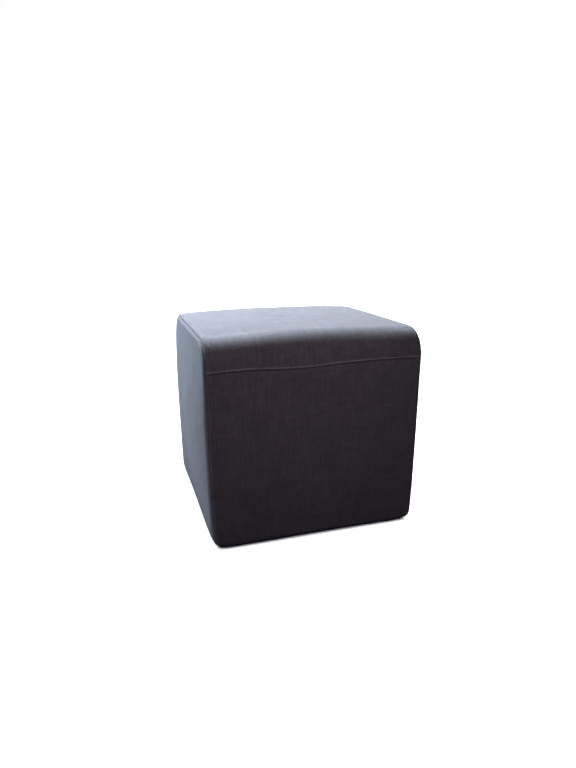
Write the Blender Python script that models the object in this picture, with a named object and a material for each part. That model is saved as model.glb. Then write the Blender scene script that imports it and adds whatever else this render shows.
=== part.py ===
"""Cube pouf stool: a filled cloth cube with one strip of cloth over the top.

Metres. +Z is up, the front faces -Y, the origin is the middle of the underside, on the floor.
Every piece is a patch of the same rounded box. A point of that box is named by a row, which
says where it lies round the depth and height section, and by a column, which says where it
lies across the width. All pieces then go through one smooth warp, so they stay nested.
"""

import bpy
import math

# The two ends of the section, which are also the signs of Y there
FRONT = -1
BACK = 1

# Driving dimensions
WIDTH = 0.4345           # box width, before the side panels bulge
DEPTH = 0.4405           # box depth, before the walls bulge
HEIGHT = 0.4095          # box height, before the seat bulges
TOP_ROLL = {FRONT: 0.0520, BACK: 0.0785}        # radius of the two top edges
SEAM_HEIGHT = {FRONT: 0.3525, BACK: 0.3290}     # seams above the floor
FOOT_ROLL = 0.016        # radius of the front and back bottom edges
FOOT_ROLL_INNER = 0.004  # the same radius where it meets the flat of a side panel
FOOT_CLEAR = 0.0006      # the walls end this high, so the pouf stands on its base cloth alone
SIDE_ROLL = 0.014        # radius of the edges that carry the side seams
CLOTH = 0.0025           # thickness of the sewn panels
GAP = 0.0003             # clearance between two pieces
UNDER = CLOTH + 1.5 * GAP   # depth of the filling under a panel
WALL_START = 3 * GAP     # a wall starts this far below its seam
FOOT_SPREAD = 0.002      # drop of a seam step's foot where there is no step

# Shape of the filled cloth
SIDE_CROWN = 0.0084      # bulge of a side panel at its middle
SIDE_HOLD = 3            # exponent: that bulge stays full until near the front and back edges
WALL_CROWN = 0.0027      # bulge of the front and back panels
SEAT_CROWN = 0.0076      # bulge of the seat
SEAT_FALL = 0.60         # exponent: the seat falls off close to its side seams
SEAT_HOLD = 4            # exponent: how quickly that bulge dies downwards
TAPER_X = 0.022          # share by which the foot is narrower than the top
TAPER_Y = 0.0053         # share by which the foot is shallower than the top
BACK_DRAW = 0.008        # how far the two top back corners are drawn in
BACK_DRAW_DEPTH = 3      # exponent: how close to the back that draw stays
BACK_DRAW_RISE = 6       # exponent: how close to the top it stays

# Height of the cloth beside a side seam: distance from the seam, height
SIDE_RIDGE = (
    (0.0, -0.0016),
    (0.0035, 0.0009),
    (0.0075, 0.0),
)

# Height of the strip above a front or back seam, and of the panel below it
STRIP_RIDGE = (
    (0.0, -0.0010),
    (0.0040, 0.0012),
    (0.0090, 0.0),
)
PANEL_RIDGE = (
    (0.0, -0.0010),
    (0.0040, -0.0002),
    (0.0090, 0.0),
)

# The front and back seams are sewn a little unevenly
WAVE_TILT = 0.0012       # rise from the middle to the right end
WAVE_DIP = 0.0042        # depth of the dip left of the middle
WAVE_DIP_X = -0.038      # where that dip is
WAVE_DIP_WIDTH = 0.062
WAVE_END = 0.0035        # pull of the side seams on both ends
WAVE_END_POWER = 8       # exponent: how close to the ends that pull stays
WAVE_LIFT = 0.0010
WAVE_REACH = 0.030       # how far above and below the seam the cloth follows it
WAVE_HOLD = 6            # exponent: the waves stay on the outer face

# Finish; colours are linear
STRIP_COLOUR = (0.060, 0.057, 0.070)
PANEL_COLOUR = (0.052, 0.049, 0.061)
BASE_COLOUR = (0.030, 0.029, 0.034)
ROUGHNESS = 0.9
SHARP_ANGLE = math.radians(38)

# Columns and rows
FLAT_SHARES = (0.92, 0.80, 0.60, 0.30, 0.0)         # columns over the flat half width
CAP_SHARES = (0.80, 0.55, 0.28)                     # rings between a side's edge and middle
SEAM_TURN = math.pi / 4                             # place of a side seam on its roll
ARC = SIDE_ROLL * SEAM_TURN                         # from a side seam to the end of its roll
ARC_STOPS = (0.0035, 0.0075, ARC)
ROLL_STEPS = 9
FOOT_STEPS = 4
TOP_STEPS = 10
WALL_STEPS = 6
BASE_STEPS = 8


def along(table, distance):
    """Height read from a small table of distance and height."""
    for (d0, h0), (d1, h1) in zip(table, table[1:]):
        if distance <= d1:
            return h0 + (h1 - h0) * (distance - d0) / (d1 - d0)
    return table[-1][1]


# ---- rows: round the section, from the front seam over the top and back underneath ----

def straight(side):
    """Height of the upright piece of the strip between a seam and its roll."""
    return HEIGHT - TOP_ROLL[side] - SEAM_HEIGHT[side]


def rise_rows(side):
    """Rows of one end of the strip: from its seam to the end of the roll on the seat."""
    rows = []
    for distance, _ in STRIP_RIDGE:
        rows.append(("rise", side, distance))
    first = STRIP_RIDGE[-1][0]
    last = straight(side) + TOP_ROLL[side] * math.pi / 2
    for i in range(1, ROLL_STEPS + 1):
        rows.append(("rise", side, first + (last - first) * i / ROLL_STEPS))
    return rows


def strip_rows():
    """Rows of the top strip: front roll, seat, back roll."""
    rows = rise_rows(FRONT)
    for i in range(1, TOP_STEPS):
        rows.append(("seat", 0, i / TOP_STEPS))
    return rows + rise_rows(BACK)[::-1]


def wall_rows(side, first):
    """Rows of one wall from just under its seam down and round the bottom edge."""
    rows = [("wall", side, first)]
    for distance, _ in PANEL_RIDGE[1:]:
        rows.append(("wall", side, distance))
    near = PANEL_RIDGE[-1][0]
    tall = SEAM_HEIGHT[side] - FOOT_ROLL
    for i in range(1, WALL_STEPS + 1):
        rows.append(("wall", side, near + (tall - near) * i / WALL_STEPS))
    for i in range(1, FOOT_STEPS + 1):
        rows.append(("foot", side, math.pi / 2 * i / FOOT_STEPS))
    return rows


def base_rows(clear):
    """Rows of the underside, front to back; clear keeps the ends off the walls."""
    rows = []
    for i in range(BASE_STEPS + 1):
        share = i / BASE_STEPS
        rows.append(("base", clear * (1 - 2 * share), share))
    return rows


def loop_rows(first):
    """All rows round the section; first is the distance of a wall's edge from its seam."""
    front = wall_rows(FRONT, first)
    return strip_rows() + wall_rows(BACK, first) + base_rows(0.0)[-2:0:-1] + front[::-1]


def cap_rows():
    """All rows but the two feet of the seam steps, for a side panel."""
    rows = []
    for row in loop_rows(GAP):
        if row[0] != "wall" or row[2] != GAP:
            rows.append(row)
    return rows


def section(row, inset):
    """Depth and height of a row on the box drawn in by inset."""
    kind, side, value = row
    foot = FOOT_ROLL + (FOOT_ROLL_INNER - FOOT_ROLL) * inset / SIDE_ROLL
    half = DEPTH / 2 - inset
    if kind == "rise":
        upright = straight(side)
        if value <= upright:
            return side * half, SEAM_HEIGHT[side] + value
        roll = TOP_ROLL[side]
        turn = (value - upright) / roll
        reach = DEPTH / 2 - roll + (roll - inset) * math.cos(turn)
        return side * reach, HEIGHT - roll + (roll - inset) * math.sin(turn)
    if kind == "seat":
        front = TOP_ROLL[FRONT] - DEPTH / 2
        back = DEPTH / 2 - TOP_ROLL[BACK]
        return front + (back - front) * value, HEIGHT - inset
    if kind == "wall":
        seam = SEAM_HEIGHT[side]
        drop = value * (seam - inset - foot) / (seam - FOOT_ROLL)
        near = PANEL_RIDGE[-1][0]
        if value <= near:
            drop = value
        return side * half, seam - drop
    if kind == "foot":
        reach = half - foot + foot * math.cos(value)
        return side * reach, inset + foot - (foot - FOOT_CLEAR) * math.sin(value)
    return (2 * value - 1) * (half - foot) + side, inset


def row_ridge(row):
    """Height that the front or back seam gives a row."""
    if row[0] == "rise":
        return along(STRIP_RIDGE, row[2])
    if row[0] == "wall":
        return along(PANEL_RIDGE, row[2])
    return 0.0


# ---- columns: across the width ----

def edge_column(side, distance):
    """A column on the rolled edge; distance from the seam, positive towards the middle."""
    return "edge", side, distance


def band_columns():
    """Columns between the two side seams, left to right."""
    left = [edge_column(-1, 0.0)]
    for stop in ARC_STOPS:
        left.append(edge_column(-1, stop))
    for share in FLAT_SHARES:
        left.append(("flat", -1, share))
    right = []
    for kind, _, value in left[:-1]:
        right.append((kind, 1, value))
    return left + right[::-1]


def cap_columns(side, first):
    """Columns of one side, from just outside its seam to the last ring."""
    columns = [edge_column(side, -first)]
    for stop in ARC_STOPS:
        columns.append(edge_column(side, -stop))
    for share in CAP_SHARES:
        columns.append(("cap", side, share))
    return columns


def place(row, column, depth):
    """Point on the box at a row and column, sunk by depth, before the warp."""
    kind, side, value = column
    outside = kind == "cap" or (kind == "edge" and value < 0)
    if outside and row[0] == "wall":
        row = ("wall", row[1], max(row[2], FOOT_SPREAD))
    if kind == "edge":
        ridge = row_ridge(row)
        if value < 0:
            ridge = min(ridge, 0.0)
        if value < -GAP:
            ridge = 0.0
        lift = along(SIDE_RIDGE, abs(value)) + ridge - depth
        turn = SEAM_TURN - value / SIDE_ROLL
        radius = SIDE_ROLL + lift
        x = WIDTH / 2 - SIDE_ROLL + radius * math.sin(turn)
        y, z = section(row, SIDE_ROLL - radius * math.cos(turn))
        return side * x, y, z
    if kind == "flat":
        x = value * (WIDTH / 2 - SIDE_ROLL)
        y, z = section(row, depth - row_ridge(row))
        return side * x, y, z
    y, z = section(row, SIDE_ROLL)
    middle = HEIGHT / 2
    x = WIDTH / 2 - depth
    return side * x, y * value, middle + (z - middle) * value


def seam_wave(x):
    """Unevenness of the front and back seams at x."""
    share = x / (WIDTH / 2)
    dip = WAVE_DIP * math.exp(-((x - WAVE_DIP_X) / WAVE_DIP_WIDTH) ** 2)
    ends = WAVE_END * min(abs(share), 1.0) ** WAVE_END_POWER
    return WAVE_LIFT + WAVE_TILT * share - dip - ends


def warp(point):
    """Bulge, taper and uneven seams, the same for every piece."""
    x, y, z = point
    share_x = max(-1.0, min(1.0, 2 * x / WIDTH))
    share_y = max(-1.0, min(1.0, 2 * y / DEPTH))
    share_z = max(-1.0, min(1.0, 2 * z / HEIGHT - 1))
    up = max(0.0, min(1.0, z / HEIGHT))
    room_x = 1 - share_x ** 2
    room_y = 1 - share_y ** 2
    room_z = 1 - share_z ** 2
    side_room = (1 - abs(share_y) ** SIDE_HOLD) * room_z
    draw = BACK_DRAW * max(share_y, 0.0) ** BACK_DRAW_DEPTH * up ** BACK_DRAW_RISE
    new_x = x * (1 - TAPER_X * (1 - up)) + (SIDE_CROWN * side_room - draw) * share_x
    new_y = y * (1 - TAPER_Y * (1 - up)) + WALL_CROWN * share_y * room_x * room_z
    new_z = z + SEAT_CROWN * up ** SEAT_HOLD * room_x ** SEAT_FALL * math.sqrt(room_y)
    seam = SEAM_HEIGHT[FRONT] if y < 0 else SEAM_HEIGHT[BACK]
    near = math.exp(-((z - seam) / WAVE_REACH) ** 2)
    new_z += seam_wave(x) * near * abs(share_y) ** WAVE_HOLD
    return new_x, new_y, new_z


# ---- solids ----

def make(name, vertices, faces, colour):
    """One named object with its own material."""
    mesh = bpy.data.meshes.new(name)
    mesh.from_pydata([warp(point) for point in vertices], [], faces)
    for polygon in mesh.polygons:
        polygon.use_smooth = True
    mesh.set_sharp_from_angle(angle=SHARP_ANGLE)
    material = bpy.data.materials.new(name + "_cloth")
    material.use_nodes = True
    shader = material.node_tree.nodes["Principled BSDF"]
    shader.inputs["Base Color"].default_value = (*colour, 1.0)
    shader.inputs["Roughness"].default_value = ROUGHNESS
    mesh.materials.append(material)
    item = bpy.data.objects.new(name, mesh)
    bpy.context.scene.collection.objects.link(item)
    return item


def tube(name, rings, start, end, colour):
    """Closed solid through closed rings, with a middle point at both ends."""
    count = len(rings[0])
    vertices = [start]
    for ring in rings:
        vertices.extend(ring)
    vertices.append(end)
    faces = []
    last = 1 + (len(rings) - 1) * count
    for i in range(count):
        j = (i + 1) % count
        faces.append((0, 1 + i, 1 + j))
        faces.append((len(vertices) - 1, last + j, last + i))
        for k in range(len(rings) - 1):
            a = 1 + k * count
            b = a + count
            faces.append((a + i, b + i, b + j, a + j))
    return make(name, vertices, faces, colour)


def sheet(name, rows, columns, colour):
    """Closed sheet of cloth over rows and columns, CLOTH thick."""
    sections = []
    for column in columns:
        outer = [place(row, column, 0.0) for row in rows]
        inner = [place(row, column, CLOTH) for row in rows]
        sections.append(outer + inner[::-1])
    count = len(sections[0])
    vertices = []
    for ring in sections:
        vertices.extend(ring)
    faces = []
    for k in range(len(sections) - 1):
        a = k * count
        b = a + count
        for i in range(count):
            j = (i + 1) % count
            faces.append((a + i, b + i, b + j, a + j))
    last = (len(sections) - 1) * count
    for i in range(len(rows) - 1):
        m = count - 1 - i
        faces.append((i, i + 1, m - 1, m))
        faces.append((last + i, last + m, last + m - 1, last + i + 1))
    return make(name, vertices, faces, colour)


def side_panel(name, side):
    """Side panel: one dished sheet sewn along its whole edge."""
    rows = cap_rows()
    columns = cap_columns(side, 2 * GAP)
    outer = [[place(row, column, 0.0) for row in rows] for column in columns]
    inner = [[place(row, column, CLOTH) for row in rows] for column in columns]
    out = (side * WIDTH / 2, 0.0, HEIGHT / 2)
    back = (side * (WIDTH / 2 - CLOTH), 0.0, HEIGHT / 2)
    if side > 0:
        return tube(name, inner[::-1] + outer, back, out, PANEL_COLOUR)
    return tube(name, outer[::-1] + inner, out, back, PANEL_COLOUR)


def body():
    """The filled solid; its outer face between the seams is the top strip."""
    strip = set(strip_rows())
    rows = loop_rows(GAP)
    left = cap_columns(-1, GAP)
    right = cap_columns(1, GAP)
    rings = []
    for column in left[::-1]:
        rings.append([place(row, column, UNDER) for row in rows])
    for column in band_columns():
        ring = []
        for row in rows:
            ring.append(place(row, column, 0.0 if row in strip else UNDER))
        rings.append(ring)
    for column in right:
        rings.append([place(row, column, UNDER) for row in rows])
    reach = WIDTH / 2 - UNDER
    start = (-reach, 0.0, HEIGHT / 2)
    end = (reach, 0.0, HEIGHT / 2)
    return tube("pouf_body", rings, start, end, STRIP_COLOUR)


def main():
    for item in list(bpy.data.objects):
        bpy.data.objects.remove(item, do_unlink=True)
    body()
    sheet("front_panel", wall_rows(FRONT, WALL_START)[::-1], band_columns(), PANEL_COLOUR)
    sheet("back_panel", wall_rows(BACK, WALL_START), band_columns(), PANEL_COLOUR)
    side_panel("left_panel", -1)
    side_panel("right_panel", 1)
    sheet("base_cloth", base_rows(GAP)[::-1], band_columns(), BASE_COLOUR)


main()
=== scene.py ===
"""Cube pouf stool: its cloth, seams and stitching, in soft window light.

Metres, +Z up, the front faces -Y. Every piece is a patch of one rounded box. A point of it has a
run, the length round the depth and height section from the front seam up over the seat, and a
distance from the nearest side seam, which is negative on the side panel. Relief, such as seam
lips, puckers and creases, raises those points, and one shared warp then bulges them all.
"""

import math

import bpy
import numpy as np
from mathutils import Matrix, Vector


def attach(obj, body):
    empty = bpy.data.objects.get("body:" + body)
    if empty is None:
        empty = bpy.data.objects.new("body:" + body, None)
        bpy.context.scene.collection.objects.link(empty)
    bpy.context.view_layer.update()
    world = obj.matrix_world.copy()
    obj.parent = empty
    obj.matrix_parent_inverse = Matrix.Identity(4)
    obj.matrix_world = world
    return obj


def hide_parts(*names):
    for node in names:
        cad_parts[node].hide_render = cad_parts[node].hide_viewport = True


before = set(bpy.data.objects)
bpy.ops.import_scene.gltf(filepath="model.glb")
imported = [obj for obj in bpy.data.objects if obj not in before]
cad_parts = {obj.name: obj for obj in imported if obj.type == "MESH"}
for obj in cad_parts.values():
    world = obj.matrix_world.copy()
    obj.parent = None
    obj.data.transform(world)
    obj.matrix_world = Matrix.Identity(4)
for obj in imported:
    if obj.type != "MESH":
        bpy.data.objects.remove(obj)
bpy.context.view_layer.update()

FRONT = -1
BACK = 1
LEFT = -1
RIGHT = 1

# ---- the box, as in the solids ----
WIDTH = 0.4345
DEPTH = 0.4405
HEIGHT = 0.4095
TOP_ROLL = {FRONT: 0.0520, BACK: 0.0785}
SEAM_HEIGHT = {FRONT: 0.3525, BACK: 0.3290}
FOOT_ROLL = 0.016
FOOT_ROLL_INNER = 0.004  # where the inset is a whole side roll
FOOT_CLEAR = 0.0006      # the walls end this far above the floor
SIDE_ROLL = 0.014
CLOTH = 0.0025
GAP = 0.0003
SIDE_CROWN = 0.0084      # bulge of the side panels
SIDE_HOLD = 3            # a higher power keeps a form closer to its edge or end
WALL_CROWN = 0.0027      # bulge of the front and back
SEAT_CROWN = 0.0076
SEAT_FALL = 0.60
SEAT_HOLD = 4
TAPER_X = 0.022          # the foot is this share narrower
TAPER_Y = 0.0053
BACK_DRAW = 0.008        # the top is drawn in towards the back
BACK_DRAW_DEPTH = 3
BACK_DRAW_RISE = 6
WAVE_TILT = 0.0012       # the front and back seams rise to the right,
WAVE_DIP = 0.0042        # dip to the left of the middle
WAVE_DIP_X = -0.038
WAVE_DIP_WIDTH = 0.062
WAVE_END = 0.0035        # and fall at their ends
WAVE_END_POWER = 8
WAVE_REACH = 0.030       # cloth this near above and below them moves along
WAVE_HOLD = 6

# ---- softer corners than the solids' ----
FOOT_DRAW = 0.0050       # the foot's two front corners are drawn in and lifted
FOOT_LIFT = 0.0065
FOOT_HOLD = 8
FOOT_REACH = 12
FOOT_ARCH = 0.0045       # between them the front's foot arches a little
SIDE_DRAW = 0.0042       # the foot of the left side is drawn in
BACK_SINK = 0.0065       # the two top corners at the back sink
BACK_SINK_HOLD = 9

# ---- lengths along the cloth ----
SEAM_TURN = math.pi / 4
ARC = SIDE_ROLL * SEAM_TURN                  # from a side seam to the end of its roll
FLAT_HALF = WIDTH / 2 - SIDE_ROLL
BAND = 2 * (ARC + FLAT_HALF)                 # across the strip, seam to seam
STRAIGHT = {side: HEIGHT - TOP_ROLL[side] - SEAM_HEIGHT[side] for side in (FRONT, BACK)}
RISE = {side: STRAIGHT[side] + TOP_ROLL[side] * math.pi / 2 for side in (FRONT, BACK)}
SEAT_RUN = DEPTH - TOP_ROLL[FRONT] - TOP_ROLL[BACK]
STRIP = RISE[FRONT] + SEAT_RUN + RISE[BACK]  # along the strip, front seam to back seam
TALL = {side: SEAM_HEIGHT[side] - FOOT_ROLL for side in (FRONT, BACK)}
FOOT = FOOT_ROLL * math.pi / 2
WALL = {side: TALL[side] + FOOT for side in (FRONT, BACK)}
BASE_RUN = DEPTH - 2 * FOOT_ROLL
AROUND = STRIP + WALL[BACK] + BASE_RUN + WALL[FRONT]
SEAT_MIDDLE = RISE[FRONT] + SEAT_RUN / 2     # where the section's two ends meet
BASE_MIDDLE = STRIP + WALL[BACK] + BASE_RUN / 2
SEAM_INSET = SIDE_ROLL - ARC                 # of a side seam, once a side panel is laid flat

# ---- mesh spacing ----
FINE_STEP = 0.00058
FAR_STEP = 0.0034
BASE_STEP = 0.0068
SPACING_SAMPLES = 6001
SEAM_ZONE = 0.0130       # fine steps this far from a seam
SEAM_FADE = 0.0140       # and then growing over this length
HIDDEN_DEPTH = 0.0052    # of the filling under a panel
HIDDEN_STEPS = 12
CAP_SHARES = (0.75, 0.50, 0.25)

# ---- seams ----
LIP_HEIGHT = 0.00150     # swelling of the strip beside a side seam
WALL_LIP_HEIGHT = 0.00050
PANEL_LIP_HEIGHT = 0.00045
PANEL_LIP_LOW = 0.25     # share of it left below the seat
PANEL_LIP_FROM = 0.29    # height where it starts to grow
LIP_PLACE = 0.0031
LIP_WIDTH = 0.0019
VALLEY_DEPTH = 0.0010
VALLEY_WIDTH = 0.0010
STITCH_PLACE = 0.0112    # stitch row beside a side seam
STITCH_SINK = 0.00085
STITCH_SINK_WIDTH = 0.0017
FELL_HEIGHT = 0.00260    # turned-in cloth above the front and back seams
FELL_PLACE = 0.0052
FELL_RISE = 0.0010       # its upper edge is steep
FELL_FALL = 0.0024
FELL_VALLEY = 0.0013
FELL_STITCH = 0.0092
FELL_SINK = 0.00025
FELL_FADE = 0.014        # it thins out towards the side seams
UNDERLAP_DEPTH = 0.0011  # the walls start this much lower

# ---- unevenness ----
PUCKER_LENGTH = 0.011
PUCKER_HEIGHT = 0.00035
PUCKER_FADE = 0.014
WIDE_PUCKER = 2.7        # lengths of a fine one
WIDE_PUCKER_SHARE = 0.8  # of its height
SWELL_LENGTH = 0.085
SWELL_HEIGHT = 0.00085
RIPPLE_LENGTH = 0.026
RIPPLE_HEIGHT = 0.00016
NEAR_SEAM = 0.030        # swells fade out this close to a seam
HALF_SHIFT = 3.0         # gives the right half of a seam puckers of its own
END_SHIFT = 5.0          # and the strip's back end
SHOULDER_DIP = 0.0025    # the seat is sat down behind the front roll, towards the left
SHOULDER_PLACE = 0.095
SHOULDER_WIDTH = 0.035
SHOULDER_END = 0.26
CREASE_ENDS = 0.35       # share of its length over which a crease fades
CREASE_RIDGE = 0.45      # height of the ridge beside it, in depths
CREASE_RIDGE_PLACE = 1.9  # and its place, in widths
CREASES = (
    # start and end across and along the strip, depth, width
    ((0.083, 0.194), (0.089, 0.064), 0.00060, 0.0050),
    ((0.172, 0.237), (0.179, 0.094), 0.00060, 0.0048),
    ((0.120, 0.300), (0.150, 0.185), 0.00040, 0.0060),
    ((0.300, 0.320), (0.270, 0.190), 0.00040, 0.0065),
)

# ---- seeds of the noise ----
STRIP_EDGE_SEED = 11
STRIP_END_SEED = 21
STRIP_SWELL_SEED = 31
WALL_EDGE_SEED = 41
WALL_TOP_SEED = 51
WALL_SWELL_SEED = 61
PANEL_EDGE_SEED = 71
PANEL_SWELL_SEED = 81


# ======================================================================================
# The rounded box
# ======================================================================================

def section(run, inset):
    """Depth and height at a run, on the box drawn in by inset."""
    run, inset = np.broadcast_arrays(np.asarray(run, float) % AROUND, inset)
    front = (run < SEAT_MIDDLE) | (run > BASE_MIDDLE)
    side = np.where(front, FRONT, BACK)
    rise = np.where(front, np.where(run < SEAT_MIDDLE, run, run - AROUND), STRIP - run)
    seam, roll, straight, rolled, tall = (
        np.where(front, item[FRONT], item[BACK])
        for item in (SEAM_HEIGHT, TOP_ROLL, STRAIGHT, RISE, TALL))
    foot = FOOT_ROLL + (FOOT_ROLL_INNER - FOOT_ROLL) * inset / SIDE_ROLL
    half = DEPTH / 2 - inset
    foot_turn = (-rise - tall) / FOOT_ROLL
    top_turn = (rise - straight) / roll
    under = (-rise - tall - FOOT) / (BASE_RUN / 2)
    zones = [rise < -tall - FOOT, rise < -tall, rise < 0, rise < straight, rise < rolled]
    reach = np.select(zones, [
        (half - foot) * (1 - under),
        half - foot + foot * np.cos(foot_turn),
        half,
        half,
        DEPTH / 2 - roll + (roll - inset) * np.cos(top_turn),
    ], DEPTH / 2 - roll - (rise - rolled))
    height = np.select(zones, [
        inset,
        inset + foot - (foot - FOOT_CLEAR) * np.sin(foot_turn),
        seam + rise * (seam - inset - foot) / tall,
        seam + rise,
        HEIGHT - roll + (roll - inset) * np.sin(top_turn),
    ], HEIGHT - inset)
    return side * reach, height


def place(run, side, distance, relief):
    """Points of the box, raised by relief, before the warp."""
    radius = SIDE_ROLL + relief
    turn = SEAM_TURN - np.minimum(distance, ARC) / SIDE_ROLL
    x = FLAT_HALF - np.maximum(distance - ARC, 0) + radius * np.sin(turn)
    y, z = section(run, SIDE_ROLL - radius * np.cos(turn))
    return np.stack(np.broadcast_arrays(side * x, y, z), -1)


def seam_wave(x):
    """Unevenness of the front and back seams at x."""
    share = 2 * x / WIDTH
    dip = WAVE_DIP * np.exp(-((x - WAVE_DIP_X) / WAVE_DIP_WIDTH) ** 2)
    ends = WAVE_END * np.minimum(np.abs(share), 1.0) ** WAVE_END_POWER
    return WAVE_TILT * share - dip - ends


def warp(points):
    """Bulge, taper and uneven seams, the same for every piece."""
    x, y, z = np.asarray(points, float).reshape(-1, 3).T
    share_x = np.clip(2 * x / WIDTH, -1, 1)
    share_y = np.clip(2 * y / DEPTH, -1, 1)
    share_z = np.clip(2 * z / HEIGHT - 1, -1, 1)
    up = np.clip(z / HEIGHT, 0, 1)
    room_x = 1 - share_x ** 2
    room_y = 1 - share_y ** 2
    room_z = 1 - share_z ** 2
    side_room = (1 - np.abs(share_y) ** SIDE_HOLD) * room_z
    draw = BACK_DRAW * np.maximum(share_y, 0) ** BACK_DRAW_DEPTH * up ** BACK_DRAW_RISE
    new_x = x * (1 - TAPER_X * (1 - up)) + (SIDE_CROWN * side_room - draw) * share_x
    new_y = y * (1 - TAPER_Y * (1 - up)) + WALL_CROWN * share_y * room_x * room_z
    crown = SEAT_CROWN * up ** SEAT_HOLD * room_x ** SEAT_FALL * np.sqrt(room_y)
    seam = np.where(y < 0, SEAM_HEIGHT[FRONT], SEAM_HEIGHT[BACK])
    near = np.exp(-((z - seam) / WAVE_REACH) ** 2) * np.abs(share_y) ** WAVE_HOLD
    foot = (1 - up) ** FOOT_REACH
    front_foot = foot * np.maximum(-share_y, 0) ** FOOT_HOLD
    corner = front_foot * np.abs(share_x) ** FOOT_HOLD
    side_foot = foot * (1 - np.maximum(share_y, 0) ** 2) * np.maximum(-share_x, 0)
    new_x = new_x - FOOT_DRAW * corner * share_x + SIDE_DRAW * side_foot
    lift = FOOT_LIFT * corner + FOOT_ARCH * front_foot * room_x + crown + seam_wave(x) * near
    sink = np.abs(share_x * np.maximum(share_y, 0)) ** BACK_SINK_HOLD * up ** BACK_DRAW_RISE
    return np.stack([new_x, new_y, z + lift - BACK_SINK * sink], 1)


# ======================================================================================
# Relief of the cloth
# ======================================================================================

def smooth(share):
    """Soft step from 0 to 1."""
    share = np.clip(share, 0, 1)
    return share * share * (3 - 2 * share)


def noise(u, v, seed):
    """Smooth noise from -1 to 1 with one bump for each unit of u and v."""
    size = 64
    table = np.random.default_rng(seed).uniform(-1, 1, (size, size))
    i = np.floor(u).astype(int)
    j = np.floor(v).astype(int)
    a = smooth(u - i)
    b = smooth(v - j)
    low = table[i % size, j % size] * (1 - a) + table[(i + 1) % size, j % size] * a
    j = j + 1
    high = table[i % size, j % size] * (1 - a) + table[(i + 1) % size, j % size] * a
    return low * (1 - b) + high * b


def bump(distance, middle, width):
    """Round ridge of height 1."""
    return np.exp(-((distance - middle) / width) ** 2)


def seam_lip(distance, height):
    """Cloth beside a side seam: valley, swelling and stitched groove."""
    return (
        height * bump(distance, LIP_PLACE, LIP_WIDTH)
        - VALLEY_DEPTH * bump(distance, 0.0, VALLEY_WIDTH)
        - STITCH_SINK * bump(distance, STITCH_PLACE, STITCH_SINK_WIDTH)
    )


def fell_lip(distance):
    """Strip above its end seam, where the turned-in cloth lies."""
    slope = np.where(distance > FELL_PLACE, FELL_RISE, FELL_FALL)
    return (
        FELL_HEIGHT * bump(distance, FELL_PLACE, slope)
        - FELL_VALLEY * bump(distance, 0.0, VALLEY_WIDTH)
        - FELL_SINK * bump(distance, FELL_STITCH, STITCH_SINK_WIDTH)
    )


def puckers(distance, along, seed):
    """Small gathers along a seam, fading into the cloth."""
    fine = noise(along / PUCKER_LENGTH, distance / PUCKER_FADE, seed)
    wide = noise(along / (WIDE_PUCKER * PUCKER_LENGTH), distance / PUCKER_FADE, seed + 1)
    fade = np.exp(-distance / PUCKER_FADE) * (1 - smooth(distance / ARC))
    height = PUCKER_HEIGHT * (fine + WIDE_PUCKER_SHARE * wide)
    return height * fade * (1 - bump(distance, 0.0, VALLEY_WIDTH))


def swells(u, v, seed):
    """Soft unevenness of filled cloth."""
    wide = noise(u / SWELL_LENGTH, v / SWELL_LENGTH, seed)
    fine = noise(u / RIPPLE_LENGTH, v / RIPPLE_LENGTH, seed + 1)
    return SWELL_HEIGHT * wide + RIPPLE_HEIGHT * fine


def crease(u, v, start, end, depth, width):
    """Soft trough from start to end, deepest in its middle."""
    start = np.array(start)
    line = np.array(end) - start
    length = np.hypot(*line)
    line = line / length
    along = (u - start[0]) * line[0] + (v - start[1]) * line[1]
    across = (u - start[0]) * -line[1] + (v - start[1]) * line[0]
    fade = CREASE_ENDS * length
    ends = smooth(along / fade) * smooth((length - along) / fade)
    side = across / width
    ridge = CREASE_RIDGE * bump(side, CREASE_RIDGE_PLACE, 1.0)
    return depth * ends * (ridge - bump(side, 0.0, 1.0))


def strip_relief(u, run):
    """Relief of the strip; u runs across it from the left seam."""
    edge = np.minimum(u, BAND - u)
    end = np.minimum(run, STRIP - run)
    half = np.where(u < BAND / 2, 0.0, HALF_SHIFT)
    start = np.where(run < STRIP / 2, 0.0, END_SHIFT)
    relief = seam_lip(edge, LIP_HEIGHT) + fell_lip(end) * smooth(edge / FELL_FADE)
    relief += puckers(edge, run + half, STRIP_EDGE_SEED)
    relief += puckers(end, u + start, STRIP_END_SEED) * smooth(edge / LIP_PLACE)
    within = smooth(edge / NEAR_SEAM) * smooth(end / NEAR_SEAM)
    relief += swells(u, run, STRIP_SWELL_SEED) * within
    shoulder = bump(run, SHOULDER_PLACE, SHOULDER_WIDTH) * (1 - smooth(u / SHOULDER_END))
    relief -= SHOULDER_DIP * shoulder * smooth(edge / NEAR_SEAM)
    for first, last, depth, width in CREASES:
        relief += crease(u, run, first, last, depth, width)
    return relief


def wall_relief(u, drop, side):
    """Relief of a wall; drop runs down it from the front or back seam."""
    edge = np.minimum(u, BAND - u)
    half = np.where(u < BAND / 2, 0.0, HALF_SHIFT)
    from_edge = smooth(edge / LIP_PLACE)
    low = smooth((WALL[side] - drop) / NEAR_SEAM)
    relief = seam_lip(edge, WALL_LIP_HEIGHT)
    relief -= UNDERLAP_DEPTH * bump(drop, 0.0, LIP_WIDTH) * from_edge
    relief += puckers(edge, drop + half + side, WALL_EDGE_SEED) * low
    relief += puckers(drop, u + side, WALL_TOP_SEED) * from_edge
    within = smooth(edge / NEAR_SEAM) * smooth(drop / NEAR_SEAM) * low
    return relief + swells(u + side, drop, WALL_SWELL_SEED) * within


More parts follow.
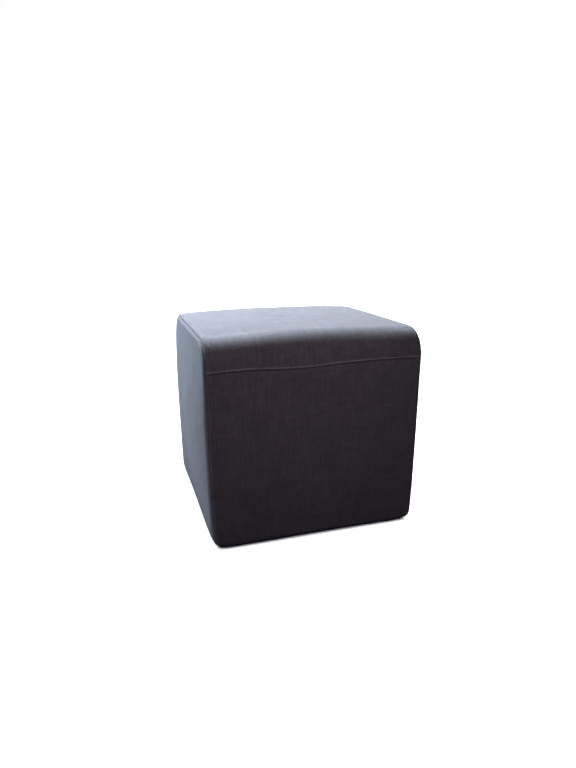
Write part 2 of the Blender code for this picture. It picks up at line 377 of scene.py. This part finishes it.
def panel_relief(distance, run, y, z, side):
    """Relief of a side panel, by distance from its seam, run round it and place on it."""
    around = (run - BASE_MIDDLE) % AROUND
    high = smooth((z - PANEL_LIP_FROM) / (HEIGHT - PANEL_LIP_FROM))
    share = PANEL_LIP_LOW + (1 - PANEL_LIP_LOW) * high
    relief = seam_lip(distance, PANEL_LIP_HEIGHT * share)
    shift = HALF_SHIFT * side
    relief += puckers(distance, around + shift, PANEL_EDGE_SEED) * smooth(z / NEAR_SEAM)
    return relief + swells(y + side, z, PANEL_SWELL_SEED) * smooth(distance / NEAR_SEAM)


def base_relief(u):
    """Relief of the underside: only its seams."""
    edge = np.minimum(u, BAND - u)
    return seam_lip(edge, WALL_LIP_HEIGHT) * (edge < ARC)


# ======================================================================================
# Meshes
# ======================================================================================

CLOTH_MAP = "cloth"      # UV map in metres along the cloth, warp threads upright
WALL_MAP_SHIFT = 1.7     # keeps the weave of each piece apart from its neighbours'
SIDE_MAP_SHIFT = 2.3


def spaced(length, seams):
    """Places from 0 to length, close together near the seams."""
    fine = np.linspace(0, length, SPACING_SAMPLES)
    near = np.full_like(fine, length)
    for seam in seams:
        near = np.minimum(near, np.abs(fine - seam))
    step = FINE_STEP + (FAR_STEP - FINE_STEP) * smooth((near - SEAM_ZONE) / SEAM_FADE)
    counted = np.concatenate([[0.0], np.cumsum(np.diff(fine) * 2 / (step[1:] + step[:-1]))])
    return np.interp(np.linspace(0, counted[-1], round(counted[-1]) + 1), counted, fine)


def grid_quads(rows, columns, closed=False):
    """Quads of a grid whose points run row by row; closed joins the last row to the first."""
    last = rows if closed else rows - 1
    i, j = np.meshgrid(np.arange(last), np.arange(columns - 1), indexing="ij")
    a = (i * columns + j).ravel()
    b = ((i + 1) % rows * columns + j).ravel()
    return np.stack([a, a + 1, b + 1, b], 1)


def shell(outer, inner, quads):
    """Closed sheet between two layers of points that share their quads."""
    count = len(outer)
    edges = np.concatenate([quads[:, [k, (k + 1) % 4]] for k in range(4)])
    forward = edges[:, 0] * count + edges[:, 1]
    backward = edges[:, 1] * count + edges[:, 0]
    rim = edges[~np.isin(forward, backward)]
    rim_quads = np.stack([rim[:, 1], rim[:, 0], rim[:, 0] + count, rim[:, 1] + count], 1)
    faces = np.concatenate([quads, quads[:, ::-1] + count, rim_quads])
    return np.concatenate([outer, inner]), faces


def mesh_object(name, points, faces, uv, material):
    """Smooth mesh object with its cloth map."""
    mesh = bpy.data.meshes.new(name)
    mesh.from_pydata(warp(points).tolist(), [], [list(face) for face in faces])
    corners = np.zeros(len(mesh.loops), int)
    mesh.loops.foreach_get("vertex_index", corners)
    layer = mesh.uv_layers.new(name=CLOTH_MAP)
    layer.data.foreach_set("uv", np.asarray(uv)[corners].astype(np.float32).ravel())
    mesh.shade_smooth()
    mesh.materials.append(material)
    item = bpy.data.objects.new(name, mesh)
    bpy.context.scene.collection.objects.link(item)
    return item


def sheet_object(name, layer, quads, uv, material):
    """Closed sheet of cloth; layer gives its points at a depth."""
    points, faces = shell(layer(0.0), layer(CLOTH), quads)
    return mesh_object(name, points, faces.tolist(), np.concatenate([uv, uv]), material)


def band_sides(u):
    """Side and distance of a place across the strip or a wall."""
    return np.where(u < BAND / 2, LEFT, RIGHT), np.minimum(u, BAND - u)


def top_strip_and_filling(material):
    """Filled pouf; its outer face between the seams is the top strip."""
    across = spaced(BAND, (0.0, BAND))
    along = spaced(STRIP, (0.0, STRIP))
    back = STRIP + np.linspace(GAP, WALL[BACK], HIDDEN_STEPS)
    under = STRIP + WALL[BACK] + np.linspace(0, BASE_RUN, HIDDEN_STEPS)[1:]
    front = AROUND - np.linspace(GAP, WALL[FRONT], HIDDEN_STEPS)[-2::-1]
    runs = np.concatenate([along, back, under, front])
    outward = np.append(-GAP, -np.linspace(0, ARC, HIDDEN_STEPS // 2)[1:])
    edge = len(outward)
    strip_side, strip_distance = band_sides(across)
    side = np.concatenate([np.full(edge, LEFT), strip_side, np.full(edge, RIGHT)])
    distance = np.concatenate([outward[::-1], strip_distance, outward])
    run, u = np.meshgrid(along, across, indexing="ij")
    relief = np.full((len(runs), len(side)), -HIDDEN_DEPTH)
    relief[:len(along), edge:-edge] = strip_relief(u, run)
    points = place(runs[:, None], side, distance, relief)
    uv = np.zeros((*relief.shape, 2))
    uv[:len(along), edge:-edge] = np.stack([u, run], -1)

    # rings that close each side under its panel, then a middle point
    middle = np.array([0.0, 0.0, HEIGHT / 2])
    spare = np.zeros((len(runs), 1, 2))
    left_rim = points[:, :1]
    right_rim = points[:, -1:]
    for share in CAP_SHARES:
        scale = [1, share, share]
        left_ring = (left_rim - middle) * scale + middle
        right_ring = (right_rim - middle) * scale + middle
        points = np.concatenate([left_ring, points, right_ring], 1)
        uv = np.concatenate([spare, uv, spare], 1)
    rows, columns = points.shape[:2]
    quads = grid_quads(rows, columns, closed=True).tolist()
    left_end = rows * columns
    for i in range(rows):
        a = i * columns
        b = (i + 1) % rows * columns
        quads.append([left_end, a, b])
        quads.append([left_end + 1, b + columns - 1, a + columns - 1])
    ends = [middle + points[0, 0] * [1, 0, 0], middle + points[0, -1] * [1, 0, 0]]
    points = np.concatenate([points.reshape(-1, 3), ends])
    uv = np.concatenate([uv.reshape(-1, 2), np.zeros((2, 2))])
    return mesh_object("strip_over_filling", points, quads, uv, material)


def wall_panel(name, side, material):
    """Front or back panel, from its seam down and round the bottom edge."""
    across = spaced(BAND, (0.0, BAND))
    down = spaced(WALL[side] - 2 * GAP, (0.0,)) + 2 * GAP
    drop, u = np.meshgrid(down, across, indexing="ij")
    run = STRIP + drop if side == BACK else AROUND - drop
    relief = wall_relief(u, drop, side)

    def layer(depth):
        return place(run, *band_sides(u), relief - depth).reshape(-1, 3)

    quads = grid_quads(len(down), len(across))
    if side == FRONT:
        quads = quads[:, ::-1]
    uv = np.stack([u.ravel() + WALL_MAP_SHIFT * side, -drop.ravel()], 1)
    return sheet_object(name, layer, quads, uv, material)


def base_panel(material):
    """Flat underside."""
    across = spaced(BAND, (0.0, BAND))
    beyond = np.linspace(GAP, BASE_RUN - GAP, round(BASE_RUN / BASE_STEP))
    along, u = np.meshgrid(beyond, across, indexing="ij")
    relief = base_relief(u)

    def layer(depth):
        run = STRIP + WALL[BACK] + along
        return place(run, *band_sides(u), relief - depth).reshape(-1, 3)

    quads = grid_quads(len(beyond), len(across))
    uv = np.stack([u.ravel(), along.ravel()], 1)
    return sheet_object("base_cloth_sheet", layer, quads, uv, material)


def side_panel(name, side, material):
    """Side panel: fine rings along its seam, and a grid blended from the innermost ring."""
    corners = (
        STRAIGHT[FRONT] + TOP_ROLL[FRONT] * math.pi / 4,
        STRIP - STRAIGHT[BACK] - TOP_ROLL[BACK] * math.pi / 4,
        STRIP + WALL[BACK] - FOOT / 2,
        AROUND - WALL[FRONT] + FOOT / 2,
        AROUND + STRAIGHT[FRONT] + TOP_ROLL[FRONT] * math.pi / 4,
    )
    wide = round((corners[1] - corners[0]) / FAR_STEP)
    tall = round((corners[2] - corners[1]) / FAR_STEP)
    turn = wide + tall
    stops = np.concatenate([
        np.linspace(first, last, steps + 1)[:-1]
        for first, last, steps in zip(corners, corners[1:], (wide, tall, wide, tall))])
    distances = spaced(ARC - 2 * GAP, (0.0,)) + 2 * GAP
    run, distance = np.meshgrid(stops, distances, indexing="ij")
    ring_y, ring_z = section(run, SEAM_INSET + distance)
    edge = np.stack([ring_y[:, -1], ring_z[:, -1]], 1)

    # grid inside the ring, blended from its four sides
    top = edge[:wide + 1, None]
    back = edge[None, wide:turn + 1]
    base = edge[turn:turn + wide + 1][::-1, None]
    front = np.append(edge[turn + wide:], edge[:1], 0)[::-1][None]
    s = np.linspace(0, 1, wide + 1)[:, None, None]
    t = np.linspace(0, 1, tall + 1)[None, :, None]
    blend = (1 - t) * top + t * base + (1 - s) * front + s * back
    blend -= (1 - s) * ((1 - t) * top[:1] + t * base[:1])
    blend -= s * ((1 - t) * top[-1:] + t * base[-1:])
    inside = blend[1:-1, 1:-1].reshape(-1, 2)
    y, z = inside.T
    nearest = np.min([np.hypot(y - edge_y, z - edge_z) for edge_y, edge_z in edge], axis=0)
    ring_relief = panel_relief(distance, run, ring_y, ring_z, side)
    inside_relief = panel_relief(ARC + nearest, 0 * y, y, z, side)

    def layer(depth):
        ring = place(run, side, -distance, ring_relief - depth).reshape(-1, 3)
        x = side * (WIDTH / 2 + inside_relief - depth)
        return np.concatenate([ring, np.stack([x, y, z], 1)])

    # the grid's border is the innermost ring
    count = len(stops)
    ring_ends = np.arange(count) * len(distances) + len(distances) - 1
    index = np.zeros((wide + 1, tall + 1), int)
    index[:, 0] = ring_ends[:wide + 1]
    index[-1] = ring_ends[wide:turn + 1]
    index[:, -1] = ring_ends[turn:turn + wide + 1][::-1]
    index[0] = np.append(ring_ends[turn + wide:], ring_ends[0])[::-1]
    index[1:-1, 1:-1] = count * len(distances) + np.arange(len(inside)).reshape(wide - 1, tall - 1)
    grid = np.stack([index[:-1, :-1], index[:-1, 1:], index[1:, 1:], index[1:, :-1]], -1)
    quads = np.concatenate([grid_quads(count, len(distances), closed=True), grid.reshape(-1, 4)])
    if side == LEFT:
        quads = quads[:, ::-1]
    ring_uv = np.stack([ring_y.ravel(), ring_z.ravel()], 1)
    uv = np.concatenate([ring_uv, inside]) + SIDE_MAP_SHIFT * side
    return sheet_object(name, layer, quads, uv, material)


# ---- stitches ----
STITCH_PITCH = 0.0042
STITCH_LENGTH = 0.0034
STITCH_RADIUS = 0.00030
STITCH_SLANT = 0.00022
STITCH_SIDES = 6
FELL_ROW_INSET = 0.0168  # of the rows above the end seams, from the side seams
STITCH_RINGS = (
    # share of the half length, girth, height in radii
    (-1.0, 0.35, -0.6),
    (-0.7, 0.90, 0.1),
    (0.0, 1.00, 0.3),
    (0.7, 0.90, 0.1),
    (1.0, 0.35, -0.6),
)


def stitch_row(start, stop, turn):
    """Across, along and height of the points of a straight row of stitches, with UVs."""
    count = round((stop - start) / STITCH_PITCH)
    middles = start + (np.arange(count) + 0.5) * (stop - start) / count
    share, girth, lift = np.array(STITCH_RINGS).T[:, :, None]
    angle = turn * np.arange(STITCH_SIDES) * 2 * math.pi / STITCH_SIDES
    along = middles[:, None, None] + share * STITCH_LENGTH / 2 + 0 * angle
    across = STITCH_RADIUS * girth * np.cos(angle) + STITCH_SLANT * share
    height = STITCH_RADIUS * (girth * np.sin(angle) + lift)
    parts = np.broadcast_arrays(across, along, height, angle / (2 * math.pi), share)
    across, along, height, around, share = (part.reshape(-1) for part in parts)
    return across, along, height, np.stack([around, share], 1)


def stitch_faces(points):
    """Faces of all the stitches in a run of stitch points."""
    per_stitch = len(STITCH_RINGS) * STITCH_SIDES
    one = []
    for ring in range(len(STITCH_RINGS) - 1):
        for k in range(STITCH_SIDES):
            a = ring * STITCH_SIDES + k
            b = ring * STITCH_SIDES + (k + 1) % STITCH_SIDES
            one.append((a, b, b + STITCH_SIDES, a + STITCH_SIDES))
    one.append(tuple(reversed(range(STITCH_SIDES))))
    one.append(tuple(range(per_stitch - STITCH_SIDES, per_stitch)))
    faces = []
    for first in range(0, points, per_stitch):
        faces += [[first + k for k in face] for face in one]
    return faces


def stitch_object(name, rows, material):
    """One object from rows of stitch points and their UVs."""
    points = np.concatenate([row[0] for row in rows])
    uv = np.concatenate([row[1] for row in rows])
    return mesh_object(name, points, stitch_faces(len(points)), uv, material)


def strip_stitches(material):
    """Four rows: beside both side seams, and above both end seams."""
    rows = []
    for beside in (STITCH_PLACE, BAND - STITCH_PLACE):
        across, run, height, uv = stitch_row(STITCH_PITCH, STRIP - STITCH_PITCH, -1)
        u = beside + across
        rows.append((place(run, *band_sides(u), strip_relief(u, run) + height), uv))
    for above in (FELL_STITCH, STRIP - FELL_STITCH):
        across, u, height, uv = stitch_row(FELL_ROW_INSET, BAND - FELL_ROW_INSET, 1)
        run = above + across
        rows.append((place(run, *band_sides(u), strip_relief(u, run) + height), uv))
    return stitch_object("strip_stitching", rows, material)


def wall_stitches(name, side, material):
    """A row beside each side seam of a wall."""
    rows = []
    for beside in (STITCH_PLACE, BAND - STITCH_PLACE):
        across, drop, height, uv = stitch_row(STITCH_PITCH, TALL[side], -side)
        u = beside + across
        run = STRIP + drop if side == BACK else AROUND - drop
        rows.append((place(run, *band_sides(u), wall_relief(u, drop, side) + height), uv))
    return stitch_object(name, rows, material)


def panel_stitches(name, side, material):
    """A row round a side panel, inside its seam, from foot to foot."""
    across, run, height, uv = stitch_row(-TALL[FRONT], STRIP + TALL[BACK], -side)
    distance = STITCH_PLACE + across
    y, z = section(run, SEAM_INSET + distance)
    relief = panel_relief(distance, run, y, z, side) + height
    return stitch_object(name, [(place(run, side, -distance, relief), uv)], material)


# ======================================================================================
# Materials
# ======================================================================================

STRIP_SEED = 1.3
PANEL_SEED = 7.7
BASE_SEED = 3.9
PITCH = 0.00105          # between two warp threads
WEFT_SHARE = 1.08        # weft pitch as a share of the warp's
THREAD_DRIFT = 0.7
DRIFT_LENGTH = 0.018
WARP_JUMP = 7.31         # step of the tone noise from thread to thread
WEFT_JUMP = 5.87
THREAD_RELIEF = 0.00026
FUZZ_SHARE = 0.16
FUZZ_LENGTH = 0.00024
SLUB_SHARE = 0.015
NUB_SHARE = 0.40
NUB_LENGTH = 0.0050
YARN_RUN = 0.024
SLUB_WIDTH = 0.0017
SLUB_RUN = 0.045
SLUB_TONE = 0.13
PICK_RUN = 0.036
PICK_WIDTH = 0.0024
PICK_TONE = 0.08
WEAR_LENGTH = 0.060
WEAR_TONE = 0.07
PAINTED_CREST_HIGHLIGHT = 1.30        # painted highlight along the crest above the front seam
PAINTED_CREST_HIGHLIGHT_WIDTH = 0.0016
MOTTLE_WIDTH = 0.020
MOTTLE_RUN = 0.012
MOTTLE_TONE = 0.08
TINT_LENGTH = 0.030
TINT_LOW = (1.018, 0.990, 0.993)     # patches lean to purple and to blue
TINT_HIGH = (0.980, 1.006, 1.012)
GAP_PAINTED_SHADE = 0.42          # painted shade: darkest, between threads
GAP_HEIGHT = 0.75        # of the weave, above which it is at its full tone, without painted shade
YARN_SPREAD = (0.32, 0.68)           # parts of each noise that are used
PATCH_SPREAD = (0.30, 0.70)
TINT_SPREAD = (0.35, 0.65)
PATCH_ROUGHNESS = 0.55
WARP_TONES = ((0.050, 0.046, 0.054), (0.088, 0.082, 0.092))
WEFT_TONES = ((0.047, 0.045, 0.052), (0.070, 0.067, 0.075))
BASE_TONES = ((0.022, 0.021, 0.025), (0.036, 0.035, 0.040))
THREAD_TONE = (0.060, 0.056, 0.064)
PLY_TURNS = 3.0
# painted shade in the grooves between the thread's plies, as a share of its tone
PLY_GROOVE_PAINTED_SHADE = 0.45
PLY_RELIEF = 0.0001
PLY_ROUGHNESS = (0.85, 0.60)
ROUGH_TONES = (0.6, 1.3)
ROUGHNESS = (1.0, 0.92)  # at those tones
SHEEN = 0.10
SHEEN_ROUGHNESS = 0.45
SHEEN_TINT = (0.80, 0.86, 1.00)
SPECULAR = 0.12


class Shader:
    """A node material, built from short calls."""

    def __init__(self, name):
        self.material = bpy.data.materials.new(name)
        self.material.use_nodes = True
        self.nodes = self.material.node_tree.nodes
        self.links = self.material.node_tree.links
        self.surface = self.nodes["Principled BSDF"]

    def feed(self, socket, value):
        """Links a socket or sets a plain value."""
        if isinstance(value, bpy.types.NodeSocket):
            self.links.new(value, socket)
        else:
            socket.default_value = value

    def math(self, operation, *values):
        """Result of a Math node."""
        node = self.nodes.new("ShaderNodeMath")
        node.operation = operation
        for socket, value in zip(node.inputs, values):
            self.feed(socket, value)
        return node.outputs[0]

    def cloth_place(self):
        """The two coordinates of the cloth map."""
        source = self.nodes.new("ShaderNodeUVMap")
        source.uv_map = CLOTH_MAP
        split = self.nodes.new("ShaderNodeSeparateXYZ")
        self.links.new(source.outputs[0], split.inputs[0])
        return split.outputs[0], split.outputs[1]

    def noise(self, x, y, seed, detail=2.0, rough=0.5):
        """Noise around 0.5, one bump for each unit of x and y."""
        join = self.nodes.new("ShaderNodeCombineXYZ")
        for socket, value in zip(join.inputs, (x, y, seed)):
            self.feed(socket, value)
        node = self.nodes.new("ShaderNodeTexNoise")
        self.links.new(join.outputs[0], node.inputs["Vector"])
        node.inputs["Scale"].default_value = 1.0
        node.inputs["Detail"].default_value = detail
        node.inputs["Roughness"].default_value = rough
        return node.outputs[0]

    def patches(self, u, v, wide, tall, seed, detail=2.0):
        """Noise over the cloth with bumps of a width and height."""
        x = self.math("MULTIPLY", u, 1 / wide)
        y = self.math("MULTIPLY", v, 1 / tall)
        return self.noise(x, y, seed, detail, PATCH_ROUGHNESS)

    def range(self, value, low, high, to_low, to_high):
        """Maps a range of values to another, clamped."""
        node = self.nodes.new("ShaderNodeMapRange")
        for socket, item in zip(node.inputs, (value, low, high, to_low, to_high)):
            self.feed(socket, item)
        return node.outputs[0]

    def mix(self, share, low, high):
        """Blend of two colours."""
        node = self.nodes.new("ShaderNodeMix")
        node.data_type = "RGBA"
        self.feed(node.inputs[0], share)
        self.feed(node.inputs[6], (*low, 1.0) if isinstance(low, tuple) else low)
        self.feed(node.inputs[7], (*high, 1.0) if isinstance(high, tuple) else high)
        return node.outputs[2]

    def scale(self, colour, share):
        """Colour times a number."""
        node = self.nodes.new("ShaderNodeVectorMath")
        node.operation = "SCALE"
        self.feed(node.inputs[0], colour)
        self.feed(node.inputs[3], share)
        return node.outputs[0]

    def times(self, colour, tint):
        """One colour times another."""
        node = self.nodes.new("ShaderNodeVectorMath")
        node.operation = "MULTIPLY"
        self.feed(node.inputs[0], colour)
        self.feed(node.inputs[1], tint)
        return node.outputs[0]

    def bump(self, height, distance):
        """Raises the surface by height times distance."""
        node = self.nodes.new("ShaderNodeBump")
        node.inputs["Strength"].default_value = 1.0
        node.inputs["Distance"].default_value = distance
        self.feed(node.inputs["Height"], height)
        self.links.new(node.outputs[0], self.surface.inputs["Normal"])


def weave(s, across, along, seed):
    """Height of a plain weave, thread numbers, and 1 where the warp is on top."""
    drift = s.patches(across, along, DRIFT_LENGTH, DRIFT_LENGTH, seed)
    drift = s.math("SUBTRACT", drift, 0.5)
    u = s.math("MULTIPLY_ADD", drift, THREAD_DRIFT, s.math("DIVIDE", across, PITCH))
    v = s.math("MULTIPLY_ADD", drift, -THREAD_DRIFT, s.math("DIVIDE", along, PITCH * WEFT_SHARE))
    i = s.math("FLOOR", u)
    j = s.math("FLOOR", v)
    over = []
    for thread_at, other, number, sign in ((u, v, i, 0.5), (v, u, j, -0.5)):
        girth = s.math("SINE", s.math("MULTIPLY", s.math("FRACT", thread_at), math.pi))
        turn = s.math("ADD", s.math("SUBTRACT", other, 0.5), number)
        turn = s.math("COSINE", s.math("MULTIPLY", turn, math.pi))
        over.append(s.math("MULTIPLY", girth, s.math("MULTIPLY_ADD", turn, sign, 0.5)))
    return s.math("MAXIMUM", *over), i, j, s.math("GREATER_THAN", *over)


def woven(name, warp_tones, weft_tones, seed, painted_highlight_runs=()):
    """Plain-woven upholstery cloth in slubbed, two-tone yarn, with painted shade between its
    threads and a painted highlight along each given run.
    """
    s = Shader(name)
    across, along = s.cloth_place()
    height, i, j, warp_on_top = weave(s, across, along, seed)

    # yarn tones run along each thread
    run_warp = s.math("MULTIPLY", along, 1 / YARN_RUN)
    run_weft = s.math("MULTIPLY", across, 1 / YARN_RUN)
    tone_warp = s.noise(s.math("MULTIPLY", i, WARP_JUMP), run_warp, seed, 3.0, 0.6)
    tone_weft = s.noise(run_weft, s.math("MULTIPLY", j, WEFT_JUMP), seed + 9, 3.0, 0.6)
    colour_warp = s.mix(s.range(tone_warp, *YARN_SPREAD, 0, 1), *warp_tones)
    colour_weft = s.mix(s.range(tone_weft, *YARN_SPREAD, 0, 1), *weft_tones)
    colour = s.mix(warp_on_top, colour_weft, colour_warp)

    # slubs along the warp, thick picks across it, wear, and painted shade in the gaps between
    # threads
    slub = s.patches(across, along, SLUB_WIDTH, SLUB_RUN, seed + 4)
    pick = s.patches(across, along, PICK_RUN, PICK_WIDTH, seed + 5)
    wear = s.patches(across, along, WEAR_LENGTH, WEAR_LENGTH, seed + 6, 3.0)
    nub = s.patches(across, along, NUB_LENGTH, NUB_LENGTH, seed + 7, 3.0)
    mottle = s.patches(across, along, MOTTLE_WIDTH, MOTTLE_RUN, seed + 8, 3.0)
    # painted shade: darker where the weave is low, between threads
    tone = s.range(height, 0.0, GAP_HEIGHT, GAP_PAINTED_SHADE, 1.0)
    for patch, amount in (
            (slub, SLUB_TONE), (pick, PICK_TONE), (wear, WEAR_TONE), (mottle, MOTTLE_TONE)):
        share = s.range(patch, *PATCH_SPREAD, 1 - amount, 1 + amount)
        tone = s.math("MULTIPLY", tone, share)
    # painted highlight: the cloth is made lighter along each given run, such as the crest above
    # the front seam
    for highlight_run in painted_highlight_runs:
        off = s.math("ABSOLUTE", s.math("SUBTRACT", along, highlight_run))
        tone = s.math("MULTIPLY", tone, s.range(off, 0.0, PAINTED_CREST_HIGHLIGHT_WIDTH, 1 + PAINTED_CREST_HIGHLIGHT, 1.0))
    tint = s.patches(across, along, TINT_LENGTH, TINT_LENGTH, seed + 2, 3.0)
    tint = s.mix(s.range(tint, *TINT_SPREAD, 0, 1), TINT_LOW, TINT_HIGH)
    s.feed(s.surface.inputs["Base Color"], s.scale(s.times(colour, tint), tone))

    fuzz = s.patches(across, along, FUZZ_LENGTH, FUZZ_LENGTH, seed)
    relief = s.math("MULTIPLY_ADD", fuzz, FUZZ_SHARE, height)
    relief = s.math("MULTIPLY_ADD", slub, SLUB_SHARE, relief)
    relief = s.math("MULTIPLY_ADD", nub, NUB_SHARE, relief)
    s.bump(relief, THREAD_RELIEF)
    s.feed(s.surface.inputs["Roughness"], s.range(tone, *ROUGH_TONES, *ROUGHNESS))
    s.surface.inputs["Sheen Weight"].default_value = SHEEN
    s.surface.inputs["Sheen Roughness"].default_value = SHEEN_ROUGHNESS
    s.surface.inputs["Sheen Tint"].default_value = (*SHEEN_TINT, 1.0)
    s.surface.inputs["Specular IOR Level"].default_value = SPECULAR
    return s.material


def thread(name):
    """Twisted sewing thread; its UV map runs round and along each stitch."""
    s = Shader(name)
    around, along = s.cloth_place()
    ply = s.math("MULTIPLY_ADD", along, PLY_TURNS, around)
    ply = s.math("SINE", s.math("MULTIPLY", s.math("FRACT", ply), math.pi))
    # painted shade: the thread is darker in the grooves between its plies
    groove_shade = tuple(PLY_GROOVE_PAINTED_SHADE * part for part in THREAD_TONE)
    s.feed(s.surface.inputs["Base Color"], s.mix(ply, groove_shade, THREAD_TONE))
    s.bump(ply, PLY_RELIEF)
    s.feed(s.surface.inputs["Roughness"], s.range(ply, 0, 1, *PLY_ROUGHNESS))
    s.surface.inputs["Sheen Weight"].default_value = SHEEN
    return s.material


# ======================================================================================
# The pouf
# ======================================================================================


def pouf():
    """All pieces, each riding on the one body."""
    # the strip's cloth gets a painted highlight along the crest above the front seam
    strip_cloth = woven("strip_cloth", WARP_TONES, WEFT_TONES, STRIP_SEED, (FELL_PLACE,))
    panel_cloth = woven("panel_cloth", WARP_TONES, WEFT_TONES, PANEL_SEED)
    base_cloth = woven("base_cloth", BASE_TONES, BASE_TONES, BASE_SEED)
    sewing = thread("sewing_thread")

    filled = top_strip_and_filling(strip_cloth)
    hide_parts("pouf_body")
    pieces = [filled, strip_stitches(sewing)]

    for word, side in (("front", FRONT), ("back", BACK)):
        panel = wall_panel(word + "_cloth", side, panel_cloth)
        stitches = wall_stitches(word + "_stitching", side, sewing)
        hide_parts(word + "_panel")
        pieces += [panel, stitches]
    for word, side in (("left", LEFT), ("right", RIGHT)):
        panel = side_panel(word + "_cloth", side, panel_cloth)
        stitches = panel_stitches(word + "_stitching", side, sewing)
        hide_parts(word + "_panel")
        pieces += [panel, stitches]

    base = base_panel(base_cloth)
    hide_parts("base_cloth")
    pieces.append(base)
    for piece in pieces:
        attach(piece, "root")
    return pieces


shown = pouf()


# ======================================================================================
# Camera
# ======================================================================================

CAMERA_PLACE = Vector((-0.3673, -1.1798, 0.5946))
CAMERA_YAW = math.radians(17.59)     # to the right of +Y
CAMERA_PITCH = math.radians(15.11)   # downwards
CAMERA_ROLL = math.radians(-0.10)
CAMERA_LENS = 26.64                  # millimetres, for a 36 mm long side

lens = bpy.data.cameras.new("camera")
lens.lens = CAMERA_LENS
camera = bpy.data.objects.new("camera", lens)
camera.matrix_world = (
    Matrix.Translation(CAMERA_PLACE)
    @ Matrix.Rotation(-CAMERA_YAW, 4, "Z")
    @ Matrix.Rotation(math.pi / 2 - CAMERA_PITCH, 4, "X")
    @ Matrix.Rotation(CAMERA_ROLL, 4, "Z")
)
bpy.context.scene.collection.objects.link(camera)
bpy.context.scene.camera = camera


# ======================================================================================
# Floor, light and tone
# ======================================================================================

FLOOR_SIZE = 12.0
FLOOR_TONE = 0.90
FLOOR_SUN = 11.0
FLOOR_SUN_ANGLE = math.radians(110)

WINDOW_PLACE = (-0.43, 1.25, 1.76)   # behind the pouf, to its left
WINDOW_AIM = (0.0, 0.0, 0.25)
WINDOW_SIZE = 0.80
WINDOW_POWER = 361.0
WINDOW_COLOUR = (0.77, 0.90, 1.0)

ROOM_PLACE = (0.5, 0.9, 1.4)         # behind the pouf, to its right
ROOM_AIM = (0.15, 0.1, 0.4)
ROOM_SIZE = 0.80
ROOM_POWER = 34.0
ROOM_COLOUR = (1.0, 0.89, 0.77)

LEFT_PLACE = (-0.90, -0.05, 0.90)    # weak, beside the left side
LEFT_AIM = (-0.20, 0.02, 0.28)
LEFT_SIZE = 0.40
LEFT_POWER = 3.8
LEFT_COLOUR = (1.0, 0.89, 0.94)

GROUND_PLACE = (-0.50, -0.05, 0.08)  # off the floor beside the left side
GROUND_AIM = (-0.22, 0.0, 0.12)
GROUND_SIZE = 0.12
GROUND_POWER = 0.95
GROUND_COLOUR = (0.81, 0.87, 1.0)

FILL_PLACE = (-0.05, -0.80, 0.60)    # close to the front, so that it fades downwards
FILL_AIM = (-0.05, -0.20, 0.25)
FILL_SIZE = 0.40
FILL_POWER = 2.9
FILL_COLOUR = (1.0, 0.83, 0.86)

SKY_COLOUR = (0.40, 0.45, 1.0)
SKY_GLOW = 0.033


def floor():
    """Plain pale floor, which sends no light back to the pouf."""
    half = FLOOR_SIZE / 2
    mesh = bpy.data.meshes.new("floor")
    corners = [(-half, -half, 0), (half, -half, 0), (half, half, 0), (-half, half, 0)]
    mesh.from_pydata(corners, [], [(0, 1, 2, 3)])
    paint = Shader("floor_paint")
    paint.surface.inputs["Base Color"].default_value = (FLOOR_TONE, FLOOR_TONE, FLOOR_TONE, 1)
    paint.surface.inputs["Roughness"].default_value = 1.0
    paint.surface.inputs["Specular IOR Level"].default_value = 0.0
    mesh.materials.append(paint.material)
    item = bpy.data.objects.new("floor", mesh)
    item.visible_diffuse = False
    item.visible_glossy = False
    bpy.context.scene.collection.objects.link(item)
    return item


def lamp(name, kind, stand, target, power, colour, items):
    """Light aimed at a target, which the camera doesn't see and which shines on some objects."""
    data = bpy.data.lights.new(name, kind)
    data.energy = power
    data.color = colour
    item = bpy.data.objects.new(name, data)
    item.location = stand
    aim = Vector(target) - Vector(stand)
    item.rotation_euler = aim.to_track_quat("-Z", "Y").to_euler()
    bpy.context.scene.collection.objects.link(item)
    reach = bpy.data.collections.new(name + "_reach")
    for lit in items:
        reach.objects.link(lit)
    item.light_linking.receiver_collection = reach
    item.visible_camera = False
    return data


def sky():
    """White to the camera, and a weak even light on the pouf."""
    world = bpy.data.worlds.new("sky")
    world.use_nodes = True
    nodes = world.node_tree.nodes
    links = world.node_tree.links
    seen = nodes["Background"]
    seen.inputs["Color"].default_value = (1, 1, 1, 1)
    seen.inputs["Strength"].default_value = 1.0
    glow = nodes.new("ShaderNodeBackground")
    glow.inputs["Color"].default_value = (*SKY_COLOUR, 1)
    glow.inputs["Strength"].default_value = SKY_GLOW
    path = nodes.new("ShaderNodeLightPath")
    choose = nodes.new("ShaderNodeMixShader")
    links.new(path.outputs["Is Camera Ray"], choose.inputs[0])
    links.new(glow.outputs[0], choose.inputs[1])
    links.new(seen.outputs[0], choose.inputs[2])
    links.new(choose.outputs[0], nodes["World Output"].inputs["Surface"])
    return world


sun = lamp("floor_light", "SUN", (0, 0, 3), (0, 0, 0), FLOOR_SUN, (1, 1, 1), [floor()])
sun.angle = FLOOR_SUN_ANGLE
lights = {
    "window": (WINDOW_PLACE, WINDOW_AIM, WINDOW_SIZE, WINDOW_POWER, WINDOW_COLOUR),
    "room": (ROOM_PLACE, ROOM_AIM, ROOM_SIZE, ROOM_POWER, ROOM_COLOUR),
    "left": (LEFT_PLACE, LEFT_AIM, LEFT_SIZE, LEFT_POWER, LEFT_COLOUR),
    "ground": (GROUND_PLACE, GROUND_AIM, GROUND_SIZE, GROUND_POWER, GROUND_COLOUR),
    "fill": (FILL_PLACE, FILL_AIM, FILL_SIZE, FILL_POWER, FILL_COLOUR),
}
for name, (stand, target, size, power, colour) in lights.items():
    lamp(name, "AREA", stand, target, power, colour, shown).size = size
bpy.context.scene.world = sky()
bpy.context.scene.view_settings.view_transform = "Standard"
